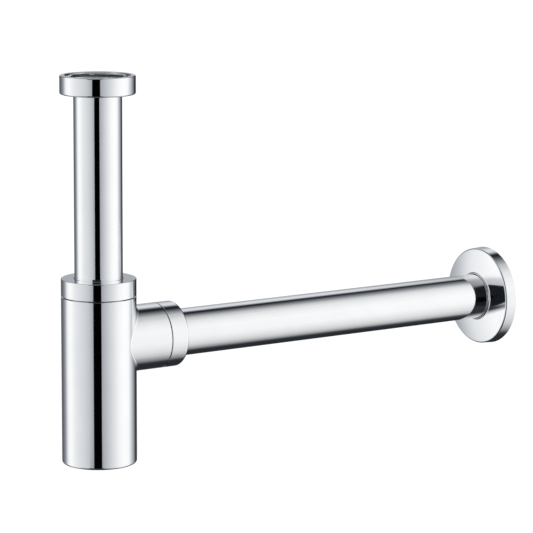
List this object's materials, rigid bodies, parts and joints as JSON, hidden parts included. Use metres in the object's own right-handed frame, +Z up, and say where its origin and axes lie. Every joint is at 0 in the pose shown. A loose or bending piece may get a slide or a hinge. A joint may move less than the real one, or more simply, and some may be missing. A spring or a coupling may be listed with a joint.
{
  "type": "p trap",
  "caption": "Chromed bottle-pattern basin trap with a union nut inlet, telescopic inlet tube, swivelling side outlet, sliding wall flange and screwed cleanout plug.",
  "frame": {"origin": "centre of the union nut's open mouth", "axes": "+Z up along the inlet, out of the mouth; +X along the outlet tube, towards the wall"},
  "size_m": [0.361, 0.0702, 0.259],
  "materials": {
    "chrome": "polished plating on brass",
    "nylon": "natural moulded nylon",
    "white_plastic": "moulded",
    "rubber": "moulded"
  },
  "bodies": {
    "union_nut": {"union_nut": "chrome"},
    "union_slip_ring": {"union_slip_ring": "nylon"},
    "inlet_tube": {"inlet_tube": "chrome", "union_gasket": "rubber"},
    "inlet_seal": {"inlet_seal": "rubber"},
    "bottle": {"bottle_body": "chrome", "dip_tube": "white_plastic"},
    "collar_washer": {"collar_slip_washer": "nylon"},
    "collar_nut": {"collar_nut": "chrome"},
    "outlet_seal": {"outlet_seal": "rubber"},
    "outlet_tube": {"outlet_tube": "chrome"},
    "wall_flange": {"wall_flange": "chrome", "flange_ring": "rubber"},
    "outlet_washer": {"outlet_slip_washer": "nylon"},
    "outlet_nut": {"outlet_nut": "chrome"},
    "plug_seal": {"plug_seal": "rubber"},
    "cleanout_plug": {"cleanout_plug": "chrome"}
  },
  "joints": [
    {"name": "union_nut_turn", "type": "hinge", "parent": "union_nut", "child": "union_slip_ring", "pos_m": [0, 0, -0.0096], "axis": [0, 0, 1], "continuous": true},
    {"name": "union_nut_slide", "type": "slide", "parent": "union_slip_ring", "child": "inlet_tube", "axis": [0, 0, 1], "range_m": [0, 0.035]},
    {"name": "height_adjust", "type": "slide", "parent": "inlet_tube", "child": "inlet_seal", "axis": [0, 0, 1], "range_m": [-0.02, 0.05]},
    {"name": "bottle_swivel", "type": "hinge", "parent": "inlet_seal", "child": "bottle", "pos_m": [0, 0, -0.14], "axis": [0, 0, 1], "continuous": true},
    {"name": "collar_travel", "type": "slide", "parent": "bottle", "child": "collar_washer", "axis": [0, 0, 1], "range_m": [0, 0.00923]},
    {"name": "collar_nut_turn", "type": "hinge", "parent": "collar_washer", "child": "collar_nut", "pos_m": [0, 0, -0.14], "axis": [0, 0, 1], "range_deg": [0, 1440]},
    {"name": "outlet_turn", "type": "hinge", "parent": "bottle", "child": "outlet_seal", "pos_m": [0.05, 0, -0.1775], "axis": [1, 0, 0], "continuous": true},
    {"name": "reach_adjust", "type": "slide", "parent": "outlet_seal", "child": "outlet_tube", "axis": [1, 0, 0], "range_m": [-0.004, 0.012]},
    {"name": "flange_slide", "type": "slide", "parent": "outlet_tube", "child": "wall_flange", "axis": [1, 0, 0], "range_m": [-0.24, 0.008]},
    {"name": "outlet_nut_travel", "type": "slide", "parent": "bottle", "child": "outlet_washer", "axis": [1, 0, 0], "range_m": [0, 0.00923]},
    {"name": "outlet_nut_turn", "type": "hinge", "parent": "outlet_washer", "child": "outlet_nut", "pos_m": [0.05, 0, -0.1775], "axis": [1, 0, 0], "range_deg": [0, 1440]},
    {"name": "plug_travel", "type": "slide", "parent": "bottle", "child": "plug_seal", "axis": [0, 0, -1], "range_m": [0, 0.00923]},
    {"name": "plug_turn", "type": "hinge", "parent": "plug_seal", "child": "cleanout_plug", "pos_m": [0, 0, -0.255], "axis": [0, 0, -1], "range_deg": [0, 1440]}
  ],
  "couplings": [
    {"joint": "collar_nut_turn", "follows": "collar_travel", "rad_per_m": 2721.2},
    {"joint": "outlet_nut_turn", "follows": "outlet_nut_travel", "rad_per_m": 2721.2},
    {"joint": "plug_turn", "follows": "plug_travel", "rad_per_m": 2721.2}
  ]
}
